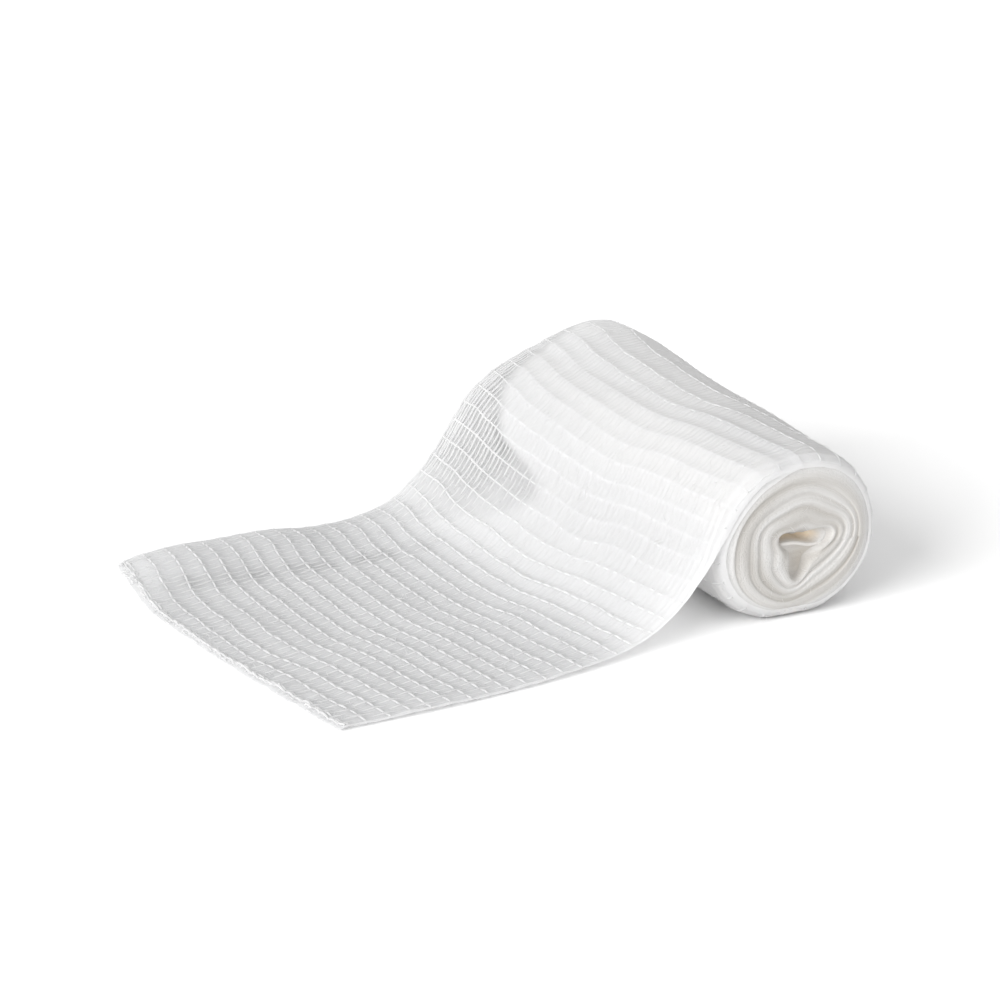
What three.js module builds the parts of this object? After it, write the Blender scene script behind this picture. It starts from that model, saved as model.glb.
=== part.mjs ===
// A gauze bandage roll: one length of open-weave cloth wound on itself without a core, with its last
// stretch unwound over the top of the roll and laid out in front of it.
// Millimetres, Z up. X runs along the roll and the loose end runs towards -Y. The origin is on the floor
// under the middle of the roll, in the small flat spot that it rests on.
import * as THREE from 'three';

// Driving sizes
const bandageWidth = 80;
const clothThickness = 1.1;
const gap = 0.3;

// The roll's section is an upright and a lower half ellipse about its axis, pressed flat at the floor.
const roll = {
  axisHeight: 12.2,
  halfWidth: 14.9,
  above: 14.8,
  below: 12.7,
  segments: 48,
};
const halfLength = bandageWidth / 2;

// The outermost turn is loose. It stands off the roll at the top and back, most at the far end.
const looseTurn = {
  angle: THREE.MathUtils.degToRad(48),
  spreadUp: THREE.MathUtils.degToRad(38),
  spreadDown: THREE.MathUtils.degToRad(48),
  rows: [
    { x: -40, standOff: 5.4 },
    { x: -33, standOff: 5.4 },
    { x: -21, standOff: 4.4 },
    { x: -3, standOff: 2.9 },
    { x: 14, standOff: 2.1 },
    { x: 29, standOff: 1.3 },
    { x: 36, standOff: 1 },
    { x: 40, standOff: 0.4 },
  ],
};

// Soft rims at both ends: how far the wall draws in, at these distances in from the end face.
const rimRows = [
  { inset: 0, drawnIn: 0.6 },
  { inset: 0.9, drawnIn: 0.2 },
  { inset: 3, drawnIn: 0 },
];

// The wound edges on each end face: soft turns of a spiral, and the hollow with three lobes at its middle.
const endFace = {
  turns: 4,
  rowsPerTurn: 3,
  relief: 0.35,
  dish: 0.7,
};
const hollow = {
  centreY: 1.5,
  centreZ: 11.7,
  waistRadius: 1.9,
  lobeWidth: THREE.MathUtils.degToRad(24),
  middleSize: 0.55,
  lobes: [
    { angle: THREE.MathUtils.degToRad(18), reach: 2.7 },
    { angle: THREE.MathUtils.degToRad(157), reach: 2 },
    { angle: THREE.MathUtils.degToRad(257), reach: 3 },
  ],
};

// Under the loose end the roll is one layer thinner. It gets its full radius back below and behind.
const coveredPart = {
  start: THREE.MathUtils.degToRad(54),
  startEnd: THREE.MathUtils.degToRad(60),
  finish: THREE.MathUtils.degToRad(140),
  finishEnd: THREE.MathUtils.degToRad(178),
  depth: clothThickness + gap + 0.1,
};

// The middle of the loose end's thickness along its two edges, at shares of its length from the roll's top.
// Near is the edge at the +X end of the roll, far the one at the -X end, which stands off the roll more.
const edgeRows = [
  { share: -0.07, nearX: 40, nearY: 6.4, nearZ: 25.5, farX: -40, farY: 6.9, farZ: 28 },
  { share: 0, nearX: 40, nearY: 0, nearZ: 26.6, farX: -40, farY: 0, farZ: 27.2 },
  { share: 0.08, nearX: 40, nearY: -7.4, nearZ: 25, farX: -39.9, farY: -7.5, farZ: 25 },
  { share: 0.16, nearX: 40, nearY: -13, nearZ: 19.9, farX: -39.3, farY: -14.8, farZ: 21.7 },
  { share: 0.22, nearX: 40.2, nearY: -16, nearZ: 15.2, farX: -38.8, farY: -19.6, farZ: 18.4 },
  { share: 0.28, nearX: 40.6, nearY: -19.3, nearZ: 10.9, farX: -38.2, farY: -23.4, farZ: 13.9 },
  { share: 0.34, nearX: 41.2, nearY: -23, nearZ: 7, farX: -37.3, farY: -27.3, farZ: 9.2 },
  { share: 0.4, nearX: 42, nearY: -27.6, nearZ: 4.2, farX: -36.5, farY: -31.8, farZ: 5.2 },
  { share: 0.46, nearX: 43.1, nearY: -32.6, nearZ: 2.3, farX: -35.6, farY: -37.1, farZ: 2.2 },
  { share: 0.54, nearX: 44.8, nearY: -39.6, nearZ: 1.1, farX: -34.5, farY: -44.8, farZ: 0.6 },
  { share: 0.62, nearX: 46.2, nearY: -46.8, nearZ: 0.55, farX: -33.2, farY: -52.8, farZ: 0.6 },
  { share: 0.7, nearX: 47.2, nearY: -54.1, nearZ: 0.55, farX: -32, farY: -60.7, farZ: 1.2 },
  { share: 0.8, nearX: 48.1, nearY: -63.3, nearZ: 0.55, farX: -30.3, farY: -70.6, farZ: 1.8 },
  { share: 0.9, nearX: 48.6, nearY: -72.6, nearZ: 0.55, farX: -28.2, farY: -80.6, farZ: 2.2 },
  { share: 1, nearX: 48.8, nearY: -81.7, nearZ: 0.55, farX: -26.2, farY: -90.2, farZ: 1.3 },
];

// The main folds of the loose end: weft ridges across it, the raised far edge and a bunched cut end.
const folds = {
  ridges: 28,
  rowsPerRidge: 4,
  columns: 9,
  ridgeShape: [0, 0.65, 1, 0.45],
  heightOnRoll: 0.2,
  heightOnFloor: 0.45,
  floorShare: 0.5,
  farEdgeShare: 0.3,
  cutEndReach: 0.035,
  cutEndHeight: 0.5,
  cutEndBulge: 1.8,
  lumpHeight: 0.25,
};

// Each weft bows as it crosses the cloth: its lead along the cloth, at shares of the width from the far edge.
const weftBowRows = [
  { across: 0, lead: 0 },
  { across: 0.1, lead: 0.6 },
  { across: 0.2, lead: 1.8 },
  { across: 0.35, lead: 2.6 },
  { across: 0.58, lead: 3.3 },
  { across: 0.72, lead: 1.7 },
  { across: 0.88, lead: 1 },
  { across: 1, lead: 0 },
];

// A smooth curve through one column of a table, by cubic pieces whose slopes come from the rows around.
function readTable(rows, keyColumn, valueColumn, key) {
  const last = rows.length - 1;
  const at = THREE.MathUtils.clamp(key, rows[0][keyColumn], rows[last][keyColumn]);
  let index = 0;
  while (index < last - 1 && rows[index + 1][keyColumn] < at) index += 1;
  const slopeAt = (row) => {
    const before = rows[Math.max(row - 1, 0)];
    const after = rows[Math.min(row + 1, last)];
    return (after[valueColumn] - before[valueColumn]) / (after[keyColumn] - before[keyColumn]);
  };
  const [left, right] = [rows[index], rows[index + 1]];
  const span = right[keyColumn] - left[keyColumn];
  const t = (at - left[keyColumn]) / span;
  const rise = right[valueColumn] - left[valueColumn];
  const [startSlope, endSlope] = [slopeAt(index) * span, slopeAt(index + 1) * span];
  const square = t * t;
  const cube = square * t;
  return (
    left[valueColumn] +
    rise * (3 * square - 2 * cube) +
    startSlope * (cube - 2 * square + t) +
    endSlope * (cube - square)
  );
}

function angleBetween(angle, middle) {
  return Math.atan2(Math.sin(angle - middle), Math.cos(angle - middle));
}

// Share of the loose turn's stand-off at an angle about the axis, from +Y towards +Z.
function looseShare(angle) {
  const away = angleBetween(angle, looseTurn.angle);
  const spread = away > 0 ? looseTurn.spreadUp : looseTurn.spreadDown;
  return Math.exp(-((away / spread) ** 2));
}

// The roll's outer section at a place x along it: half ellipses with the loose turn and the soft rims.
function sectionPoint(x, angle, thinner = 0) {
  const inset = halfLength - Math.abs(x);
  const drawnIn = readTable(rimRows, 'inset', 'drawnIn', inset) + thinner;
  const standOff = readTable(looseTurn.rows, 'x', 'standOff', x) * looseShare(angle);
  const up = Math.sin(angle);
  const height = up > 0 ? roll.above : roll.below;
  const grow = standOff - drawnIn;
  const y = (roll.halfWidth + grow) * Math.cos(angle);
  const z = roll.axisHeight + (height + grow) * up;
  return { y, z: Math.max(z, 0) };
}

// How much thinner the roll is at an angle, because the loose end covers it there.
function coveredDepth(angle) {
  const turned = THREE.MathUtils.euclideanModulo(angle, 2 * Math.PI);
  const begin = THREE.MathUtils.smoothstep(turned, coveredPart.start, coveredPart.startEnd);
  const finish = THREE.MathUtils.smoothstep(turned, coveredPart.finish, coveredPart.finishEnd);
  return coveredPart.depth * (begin - finish);
}

function hollowPoint(angle, size) {
  const lobes = hollow.lobes.map((lobe) => {
    const away = angleBetween(angle, lobe.angle) / hollow.lobeWidth;
    return lobe.reach * Math.exp(-(away ** 2));
  });
  const radius = size * (hollow.waistRadius + lobes.reduce((sum, reach) => sum + reach, 0));
  return {
    y: hollow.centreY + radius * Math.cos(angle),
    z: hollow.centreZ + radius * Math.sin(angle),
  };
}

// One ring of the end face: a share of the way from the hollow to the rim, with the spiral's relief.
function facePoint(side, share, angle) {
  const inner = hollowPoint(angle, 1);
  const outer = sectionPoint(side * halfLength, angle, coveredDepth(angle));
  const wave = Math.cos(2 * Math.PI * share * endFace.turns - side * angle);
  const fade = Math.sin(Math.PI * share);
  const sunk = endFace.dish * (1 - share) + endFace.relief * fade * (1 - wave);
  return [
    side * (halfLength - sunk),
    THREE.MathUtils.lerp(inner.y, outer.y, share),
    THREE.MathUtils.lerp(inner.z, outer.z, share),
  ];
}

// The wound roll is one closed ring of sections: along the wall, in over the near face, back through the
// hollow and out over the far face.
function woundRollGeometry() {
  const rings = [];
  const wallPlaces = [-40, -39.1, -37, -33, -27, -21, -12, -3, 6, 14, 22, 29, 34, 37, 39.1, 40];
  wallPlaces.forEach((x) => {
    rings.push((angle) => {
      const point = sectionPoint(x, angle, coveredDepth(angle));
      return [x, point.y, point.z];
    });
  });
  const faceRows = endFace.turns * endFace.rowsPerTurn;
  for (let row = faceRows - 1; row >= 0; row -= 1) {
    rings.push((angle) => facePoint(1, row / faceRows, angle));
  }
  [
    { x: 30, size: 0.8 },
    { x: 15, size: hollow.middleSize },
    { x: -15, size: hollow.middleSize },
    { x: -30, size: 0.8 },
  ].forEach(({ x, size }) => {
    rings.push((angle) => {
      const point = hollowPoint(angle, size);
      return [x, point.y, point.z];
    });
  });
  for (let row = 0; row < faceRows; row += 1) {
    rings.push((angle) => facePoint(-1, row / faceRows, angle));
  }

  const positions = rings.flatMap((ring) =>
    Array.from({ length: roll.segments }, (_, step) => ring((2 * Math.PI * step) / roll.segments)).flat(),
  );
  const indices = [];
  for (let ring = 0; ring < rings.length; ring += 1) {
    const nextRing = (ring + 1) % rings.length;
    for (let step = 0; step < roll.segments; step += 1) {
      const nextStep = (step + 1) % roll.segments;
      const a = ring * roll.segments + step;
      const b = ring * roll.segments + nextStep;
      const c = nextRing * roll.segments + nextStep;
      const d = nextRing * roll.segments + step;
      indices.push(a, b, c, a, c, d);
    }
  }
  return indexedGeometry(positions, indices);
}

function indexedGeometry(positions, indices) {
  const geometry = new THREE.BufferGeometry();
  geometry.setAttribute('position', new THREE.Float32BufferAttribute(positions, 3));
  geometry.setIndex(indices);
  geometry.computeVertexNormals();
  return geometry;
}

// Height of the roll's full outer section over a point, found by halving the angle. The cloth bridges the
// soft rims, and beside the roll the height is low.
function rollTop(x, y) {
  const fullSection = halfLength - rimRows[rimRows.length - 1].inset;
  const place = THREE.MathUtils.clamp(x, -fullSection, fullSection);
  let [low, high] = [coveredPart.startEnd, Math.PI];
  if (y < sectionPoint(place, high).y) return -roll.axisHeight;
  const halvings = 30;
  for (let step = 0; step < halvings; step += 1) {
    const middle = (low + high) / 2;
    if (sectionPoint(place, middle).y > y) low = middle;
    else high = middle;
  }
  return sectionPoint(place, low).z;
}

// The loose end's upper face before its ridges, at a share of its length and a share across from the far
// edge. It follows the two edges, lies on the roll where they would cut into it, and its far strip is raised.
function clothPoint(share, across) {
  const column = (name) => readTable(edgeRows, 'share', name, share);
  const near = new THREE.Vector3(column('nearX'), column('nearY'), column('nearZ'));
  const far = new THREE.Vector3(column('farX'), column('farY'), column('farZ'));
  const onFloor = THREE.MathUtils.smoothstep(share, folds.floorShare - 0.08, folds.floorShare + 0.08);
  const raised = THREE.MathUtils.smoothstep(across, 0, folds.farEdgeShare);
  const blend = THREE.MathUtils.lerp(across, raised, onFloor);
  const point = far.clone().lerp(near, across);
  point.z = THREE.MathUtils.lerp(far.z, near.z, blend);
  const lumps = Math.sin(9 * across + 14 * share) * Math.sin(5 * across - 11 * share);
  point.z += onFloor * folds.lumpHeight * Math.max(lumps, 0);
  const endFade = THREE.MathUtils.smoothstep(share, 1 - 3 * folds.cutEndReach, 1);
  point.y -= endFade * folds.cutEndBulge * Math.sin(Math.PI * Math.sqrt(across));
  point.z += clothThickness / 2;
  point.z = Math.max(point.z, rollTop(point.x, point.y));
  return point;
}

// The cloth's direction of thickness, square to its run in the plane across the roll.
function clothNormal(share, across) {
  const step = 0.004;
  const before = clothPoint(share - step, across);
  const after = clothPoint(share + step, across);
  const run = after.sub(before);
  return new THREE.Vector3(0, run.z, -run.y).normalize();
}

// The loose end is a closed sheet: an upper face with the weft ridges, a plain underside and four rims.
function looseEndGeometry() {
  const first = edgeRows[0].share;
  const rows = Math.round(folds.ridges * (1 - first)) * folds.rowsPerRidge;
  const clothLength = bandageWidth + 16;
  const upper = [];
  const lower = [];
  for (let row = 0; row <= rows; row += 1) {
    for (let columnIndex = 0; columnIndex <= folds.columns; columnIndex += 1) {
      const across = columnIndex / folds.columns;
      const even = first + ((1 - first) * row) / rows;
      const bowFade = Math.min(1, (even - first) / 0.1, (1 - even) / 0.1);
      const lead = readTable(weftBowRows, 'across', 'lead', across);
      const share = even + (bowFade * lead) / clothLength;
      const point = clothPoint(share, across);
      const normal = clothNormal(share, across);
      const onFloor = THREE.MathUtils.smoothstep(share, 0.3, folds.floorShare);
      const height = THREE.MathUtils.lerp(folds.heightOnRoll, folds.heightOnFloor, onFloor);
      const ridge = height * folds.ridgeShape[row % folds.rowsPerRidge];
      const bunch = folds.cutEndHeight * THREE.MathUtils.smoothstep(share, 1 - folds.cutEndReach, 1);
      upper.push(point.clone().addScaledVector(normal, ridge + bunch));
      const under = point.clone().addScaledVector(normal, -clothThickness);
      under.z = Math.max(under.z, 0);
      lower.push(under);
    }
  }
  return closedSheet(upper, lower, rows, folds.columns);
}

// Joins two grids of the same rows and columns into one closed body.
function closedSheet(upper, lower, rows, columns) {
  const stride = columns + 1;
  const below = upper.length;
  const indices = [];
  const quad = (a, b, c, d) => indices.push(a, b, c, a, c, d);
  for (let row = 0; row < rows; row += 1) {
    for (let column = 0; column < columns; column += 1) {
      const a = row * stride + column;
      const b = a + stride;
      quad(a, b, b + 1, a + 1);
      quad(below + a, below + a + 1, below + b + 1, below + b);
    }
    const far = row * stride;
    const near = far + columns;
    quad(far, below + far, below + far + stride, far + stride);
    quad(near, near + stride, below + near + stride, below + near);
  }
  for (let column = 0; column < columns; column += 1) {
    const cutEnd = rows * stride + column;
    quad(column, column + 1, below + column + 1, below + column);
    quad(cutEnd, below + cutEnd, below + cutEnd + 1, cutEnd + 1);
  }
  const positions = [...upper, ...lower].flatMap((point) => point.toArray());
  return indexedGeometry(positions, indices);
}

const gauze = new THREE.MeshStandardMaterial({
  name: 'gauze',
  color: 0xeceae6,
  roughness: 0.92,
  metalness: 0,
  side: THREE.DoubleSide,
});

const woundRoll = new THREE.Mesh(woundRollGeometry(), gauze);
woundRoll.name = 'wound_roll';

const looseEnd = new THREE.Mesh(looseEndGeometry(), gauze.clone());
looseEnd.name = 'loose_end';

const bandage = new THREE.Group();
bandage.add(woundRoll, looseEnd);

export default bandage;
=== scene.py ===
# A gauze bandage roll in a studio: its open weave of yarns, the haze of fibres between them, the wound
# turns, the loose fluff, and a pale floor with soft light.
# Tables are in millimetres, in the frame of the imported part. Finished meshes are in metres.
import math

import bpy
import numpy as np
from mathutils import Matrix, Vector


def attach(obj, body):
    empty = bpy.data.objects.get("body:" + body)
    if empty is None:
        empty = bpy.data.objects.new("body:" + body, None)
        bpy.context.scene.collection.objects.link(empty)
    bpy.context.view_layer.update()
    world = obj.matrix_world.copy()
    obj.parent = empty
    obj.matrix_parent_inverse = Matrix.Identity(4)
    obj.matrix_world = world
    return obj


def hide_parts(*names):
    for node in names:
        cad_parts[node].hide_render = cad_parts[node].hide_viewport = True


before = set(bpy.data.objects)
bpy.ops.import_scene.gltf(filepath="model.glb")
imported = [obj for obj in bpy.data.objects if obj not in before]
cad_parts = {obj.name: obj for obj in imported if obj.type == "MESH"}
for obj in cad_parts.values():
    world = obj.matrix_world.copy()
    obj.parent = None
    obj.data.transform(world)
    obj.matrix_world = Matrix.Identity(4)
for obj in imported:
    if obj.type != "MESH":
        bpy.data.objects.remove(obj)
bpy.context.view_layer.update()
millimetre = 0.001
print("stage: frame loaded")


# Numbers and tables

def columns(names, *rows):
    # A table as a dictionary of its columns, each an array from the first row to the last.
    return dict(zip(names.split(), np.array(rows, float).T))


def curveOf(rows, value, at):
    # A smooth curve through one column over the first, by cubic pieces. Each row's slope is that from the
    # row before it to the row after it, and places outside the table take its end values.
    keys, values = next(iter(rows.values())), rows[value]
    last = len(keys) - 1
    place = np.clip(at, keys[0], keys[last])
    index = np.clip(np.searchsorted(keys, place, side="right") - 1, 0, last - 1)
    every = np.arange(last + 1)
    before, after = np.maximum(every - 1, 0), np.minimum(every + 1, last)
    slopes = (values[after] - values[before]) / (keys[after] - keys[before])
    span = keys[index + 1] - keys[index]
    t = (place - keys[index]) / span
    rise = values[index + 1] - values[index]
    curve = values[index] + rise * (3 * t**2 - 2 * t**3)
    return curve + span * (slopes[index] * (t**3 - 2 * t**2 + t) + slopes[index + 1] * (t**3 - t**2))


def climb(value, low, high):
    t = np.clip((value - low) / (high - low), 0, 1)
    return t * t * (3 - 2 * t)


def window(value, start, end):
    # Climbs from 0 to 1 over the limits in start, and falls back over those in end.
    return climb(value, *start) * (1 - climb(value, *end))


def mixed(first, second, share):
    return first + (second - first) * share


def bell(value, middle, width):
    return np.exp(-(((value - middle) / width) ** 2))


def unit(vectors):
    return vectors / np.linalg.norm(vectors, axis=-1, keepdims=True)


def wander(place, size, seeds, shortest, longest, waves=5):
    # A slow random curve, mostly from -size to size: a sum of sine waves of seeded lengths and phases,
    # divided by what the sum usually reaches. Tables give its size, seed, shortest and longest wave.
    made = np.random.default_rng(seeds)
    lengths = made.uniform(shortest, longest, waves)
    phases = made.uniform(0, 2 * np.pi, waves)
    total = sum(np.sin(2 * np.pi * place / length + phase) for length, phase in zip(lengths, phases))
    usualReach = 1.4 * math.sqrt(waves)
    return size * (total / usualReach)


def wanders(places, size, seed, shortest, longest):
    # One such curve for each row of places.
    rows = [wander(place, size, (seed, row), shortest, longest) for row, place in enumerate(places)]
    return np.array(rows)


# The bandage's form

bandage = {
    "width": 80,
    "clothThickness": 1.1,
    "endLength": 96,  # along the cloth, from the roll's top to the cut end
    "turnLength": 91,  # once round the roll
}
halfWidth = bandage["width"] / 2
endLength = bandage["endLength"]

roll = {
    "axisHeight": 12.2,
    "halfWidth": 14.9,
    "above": 14.8,
    "below": 12.7,
    "fullSection": 37,  # the section keeps its full size up to here on both sides
}

looseTurn = {
    "angle": 48,
    "spreadUp": 38,
    "spreadDown": 48,
    "rows": columns(
        "x standOff",
        (-40, 5.4), (-33, 5.4), (-21, 4.4), (-3, 2.9), (14, 2.1), (29, 1.3), (36, 1), (40, 0.4),
    ),
}

hollow = {
    "centreY": 1.5,
    "centreZ": 11.7,
    "waistRadius": 1.9,
    "lobeWidth": 24,
    "middleSize": 0.12,
    "lobes": columns("angle reach", (18, 2.7), (157, 2), (257, 3)),
}

# The middle of the cloth's thickness along both edges of the loose end, at shares of its length.
edgeRows = columns(
    "share nearX nearY nearZ farX farY farZ",
    (-0.07, 40, 6.4, 25.5, -40, 6.9, 28),
    (0, 40, 0, 26.6, -40, 0, 27.2),
    (0.08, 40, -7.4, 25, -39.9, -7.5, 25),
    (0.16, 40, -12.7, 19.9, -39.3, -14.8, 21.7),
    (0.22, 40.1, -15, 15.2, -38.8, -19.6, 18.4),
    (0.28, 40.3, -17, 10.6, -38.2, -23.4, 13.9),
    (0.34, 41, -21, 6.4, -37.3, -27.3, 9.2),
    (0.4, 42, -26, 3.4, -36.5, -31.8, 5.2),
    (0.46, 43.1, -31.5, 1.7, -35.6, -37.1, 2.2),
    (0.54, 44.8, -39, 0.9, -34.5, -44.8, 0.6),
    (0.62, 46.2, -46.6, 0.55, -33.2, -52.8, 0.6),
    (0.7, 47.2, -54.1, 0.55, -32, -60.7, 1.2),
    (0.8, 48.1, -63.3, 0.55, -30.3, -70.6, 1.8),
    (0.9, 48.6, -72.6, 0.55, -28.2, -80.6, 2.2),
    (1, 48.8, -82.7, 0.55, -26.4, -90.6, 1.1),
)

folds = {
    "floorShare": 0.5,
    "floorBlend": 0.08,
    "farEdgeShare": 0.3,
    "cutEndReach": 0.105,
    "cutEndBulge": 3,
    "bulgeLean": 0.7,  # under 1 the cut end bulges most on its far side
    "lumpHeight": 0.25,
    "farRollHeight": 0.55,
    "farRollPlace": 0.1,
    "farRollWidth": 0.085,
}

# How far the outermost turn lies inside the full section, at shares of the turn back from the roll's top:
# thin near its end, under the loose end, and slack behind and below.
outerTurn = {
    "farLean": 1.5,
    "nearDepth": 0.75,
    "nearWithin": ((0.74, 0.88), (0.93, 1.01)),
    "farDepth": 3.4,
    "farStart": (0.79, 1),
    "slack": 0.5,
    "slackWithin": ((0.5, 0.66), (0.76, 0.84)),
}


def angleFrom(angle, middle):
    return np.arctan2(np.sin(angle - middle), np.cos(angle - middle))


def bellRound(angle, middle, width):
    # A bell about a middle angle, with the middle and the width in degrees.
    return bell(np.degrees(angleFrom(angle, math.radians(middle))), 0, width)


def sectionPoint(x, angle, thinner=0, loose=1):
    # Half ellipses about the roll's axis, grown by the loose turn's stand-off, which fades like a bell on
    # both sides of its middle angle. The floor presses them flat.
    x = np.clip(x, -roll["fullSection"], roll["fullSection"])
    away = np.degrees(angleFrom(angle, math.radians(looseTurn["angle"])))
    spread = np.where(away > 0, looseTurn["spreadUp"], looseTurn["spreadDown"])
    standOff = curveOf(looseTurn["rows"], "standOff", x) * bell(away, 0, spread)
    grow = loose * standOff - thinner
    height = np.where(np.sin(angle) > 0, roll["above"], roll["below"])
    y = (roll["halfWidth"] + grow) * np.cos(angle)
    z = roll["axisHeight"] + (height + grow) * np.sin(angle)
    return y, np.maximum(z, 0)


def hollowPoint(angle, size):
    # The hollow's wall: a waist circle with three lobes, each a bell about its own angle.
    radius = hollow["waistRadius"]
    for lobeAngle, reach in zip(*hollow["lobes"].values()):
        radius = radius + reach * bellRound(angle, lobeAngle, hollow["lobeWidth"])
    y = hollow["centreY"] + size * radius * np.cos(angle)
    return y, hollow["centreZ"] + size * radius * np.sin(angle)


def rollTop(x, y):
    # Height of the roll over a point, found by halving the angle between its start and 180 degrees. Beside
    # the roll it is below the floor.
    start, halvings = math.radians(60), 26
    low, high = np.full_like(y, start), np.full_like(y, math.pi)
    for _ in range(halvings):
        middle = (low + high) / 2
        inside = sectionPoint(x, middle)[0] > y
        low, high = np.where(inside, middle, low), np.where(inside, high, middle)
    outside = y < sectionPoint(x, np.full_like(y, math.pi))[0]
    return np.where(outside, -roll["axisHeight"], sectionPoint(x, low)[1])


def endFace(share, across):
    # The loose end's upper face: straight across between its two edges, lying on the roll where they would
    # cut into it, with its far strip raised and the cut end bulging.
    edge = {name: curveOf(edgeRows, name, share) for name in edgeRows if name != "share"}
    x = mixed(edge["farX"], edge["nearX"], across)
    y = mixed(edge["farY"], edge["nearY"], across)
    landing, reach = folds["floorShare"], folds["floorBlend"]
    onFloor = climb(share, landing - reach, landing + reach)
    blend = mixed(across, climb(across, 0, folds["farEdgeShare"]), onFloor)
    z = mixed(edge["farZ"], edge["nearZ"], blend)
    lumps = np.sin(9 * across + 14 * share) * np.sin(5 * across - 11 * share)
    farRoll = folds["farRollHeight"] * bell(across, folds["farRollPlace"], folds["farRollWidth"])
    z = z + onFloor * (folds["lumpHeight"] * np.maximum(lumps, 0) + farRoll) + bandage["clothThickness"] / 2
    bulge = folds["cutEndBulge"] * climb(share, 1 - folds["cutEndReach"], 1)
    y = y - bulge * np.sin(np.pi * across ** folds["bulgeLean"])
    return np.stack([x, y, np.maximum(z, rollTop(x, y))], -1)


def turnFace(along, across):
    # The outermost turn's face, at minus the length from the roll's top. It slips in under the loose end.
    turn = -along / bandage["turnLength"]
    angle = math.pi / 2 - 2 * math.pi * turn
    x = mixed(-halfWidth, halfWidth, across)
    farSide = (1 - across) ** outerTurn["farLean"]
    nearLayer = outerTurn["nearDepth"] * window(turn, *outerTurn["nearWithin"])
    farLayer = outerTurn["farDepth"] * climb(turn, *outerTurn["farStart"])
    slack = outerTurn["slack"] * window(turn, *outerTurn["slackWithin"])
    y, z = sectionPoint(x, angle, mixed(nearLayer, farLayer, farSide) - slack)
    return np.stack([x, y, z], -1)


# At both ends of the roll the cloth drops over a soft shoulder, which depends on the inset from the end.
shoulderRows = columns("inset drop", (0, 2), (0.4, 1.25), (0.9, 0.72), (1.6, 0.3), (2.6, 0.06), (3.4, 0))


def shoulderDrop(x):
    return curveOf(shoulderRows, "drop", np.maximum(halfWidth - np.abs(x), 0))


# The face worked out once on a fine grid, which the yarns and the haze then read.
grid = {"start": -104, "stepAlong": 0.5, "columns": 121}
gridAlong = np.arange(grid["start"], endLength + 1e-6, grid["stepAlong"])
gridAcross = np.linspace(0, 1, grid["columns"])
alongMesh, acrossMesh = np.meshgrid(gridAlong, gridAcross, indexing="ij")
facePoints = np.where(
    alongMesh[..., None] > 0,
    endFace(np.maximum(alongMesh, 0) / endLength, acrossMesh),
    turnFace(np.minimum(alongMesh, 0), acrossMesh),
)
alongStep = np.gradient(facePoints, axis=0)
acrossStep = np.gradient(facePoints, axis=1)
faceNormals = unit(np.cross(alongStep, acrossStep))


def readGrid(field, along, across):
    # A value between the four grid points around a place, weighted by nearness.
    beforeLast = 1.001
    row = np.clip((along - grid["start"]) / grid["stepAlong"], 0, len(gridAlong) - beforeLast)
    column = np.clip(across * (grid["columns"] - 1), 0, grid["columns"] - beforeLast)
    r, c = row.astype(int), column.astype(int)
    tr, tc = (row - r)[..., None], (column - c)[..., None]
    first = mixed(field[r, c], field[r + 1, c], tr)
    second = mixed(field[r, c + 1], field[r + 1, c + 1], tr)
    return mixed(first, second, tc)


# The weave: wefts cross the cloth in bowed ridges, and warps run along it and ride over them.
weave = {
    "start": -93,  # the outer turn is woven from here on
    "meanPitch": 3.5,
    # the wefts' radius and rise over the middle plane, and how far the yarns swing over each other
    "yarnRows": columns(
        "along weftRadius weftRise swing",
        (-104, 0.16, 0.2, 0.04), (-8, 0.16, 0.2, 0.04), (8, 0.16, 0.08, 0.04), (24, 0.2, 0.05, 0.05),
        (36, 0.22, 0.08, 0.08), (55, 0.2, 0.07, 0.08), (96, 0.2, 0.07, 0.08),
    ),
    # how much higher the far edge stands than the face
    "farLiftRows": columns(
        "along lift",
        (-6, 0), (6, 0.6), (20, 0.85), (38, 0.7), (48, 0.15), (60, 0.1), (68, 0.5), (77, 0.4),
        (88, 0.85), (96, 0.8),
    ),
    "farLiftWidth": 0.25,
    # the yarns' middle plane below the face, in the valleys
    "depthRows": columns(
        "along depth",
        (-104, 0.36), (-14, 0.38), (0, 0.56), (24, 0.36), (44, 0.68), (96, 0.72),
    ),
    "nearShoulder": (16, 30),  # where the cloth leaves the roll's shoulders
    "farShoulder": (-30, -6),
    "bowFade": 9.6,
    "pitchRows": columns("along pitch", (-104, 4), (0, 3.9), (20, 3.62), (50, 3.43), (96, 3.4)),
    "reliefRows": columns(
        "along height sharpness",
        (-104, 0.16, 0.2), (-20, 0.2, 0.2), (-8, 0.32, 0.3), (4, 0.36, 0.3), (14, 0.28, 0.4),
        (24, 0.18, 0.6), (38, 0.3, 0.7), (50, 0.27, 0.6), (88, 0.28, 0.6), (96, 0.15, 0.6),
    ),
    "bowRows": columns(
        "across lead",
        (0, 0), (0.1, 0.6), (0.2, 1.8), (0.35, 2.6), (0.58, 3.3), (0.72, 1.7), (0.88, 1), (1, 0),
    ),
}

warp = {
    "pitch": 1.23,
    "edgeWarps": 5,
    "edgePitch": 0.72,
    "edgeInset": 0.35,
    "afterEdge": 1.05,
    "radius": 0.26,
    "ringPhases": (0, 0.3, 0.62, 0.84),  # its rings between two wefts
    "endBefore": 0.22,  # wefts before the cut end
    "inset": 0.002,
    "drift": (0.13, 11, 7, 30),
    "swell": (0.16, 12, 2, 9),
    "packedSize": 0.72,
    "packedUntil": (44, 58),
    "sides": 5,
    "flatness": 0.85,
}

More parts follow.
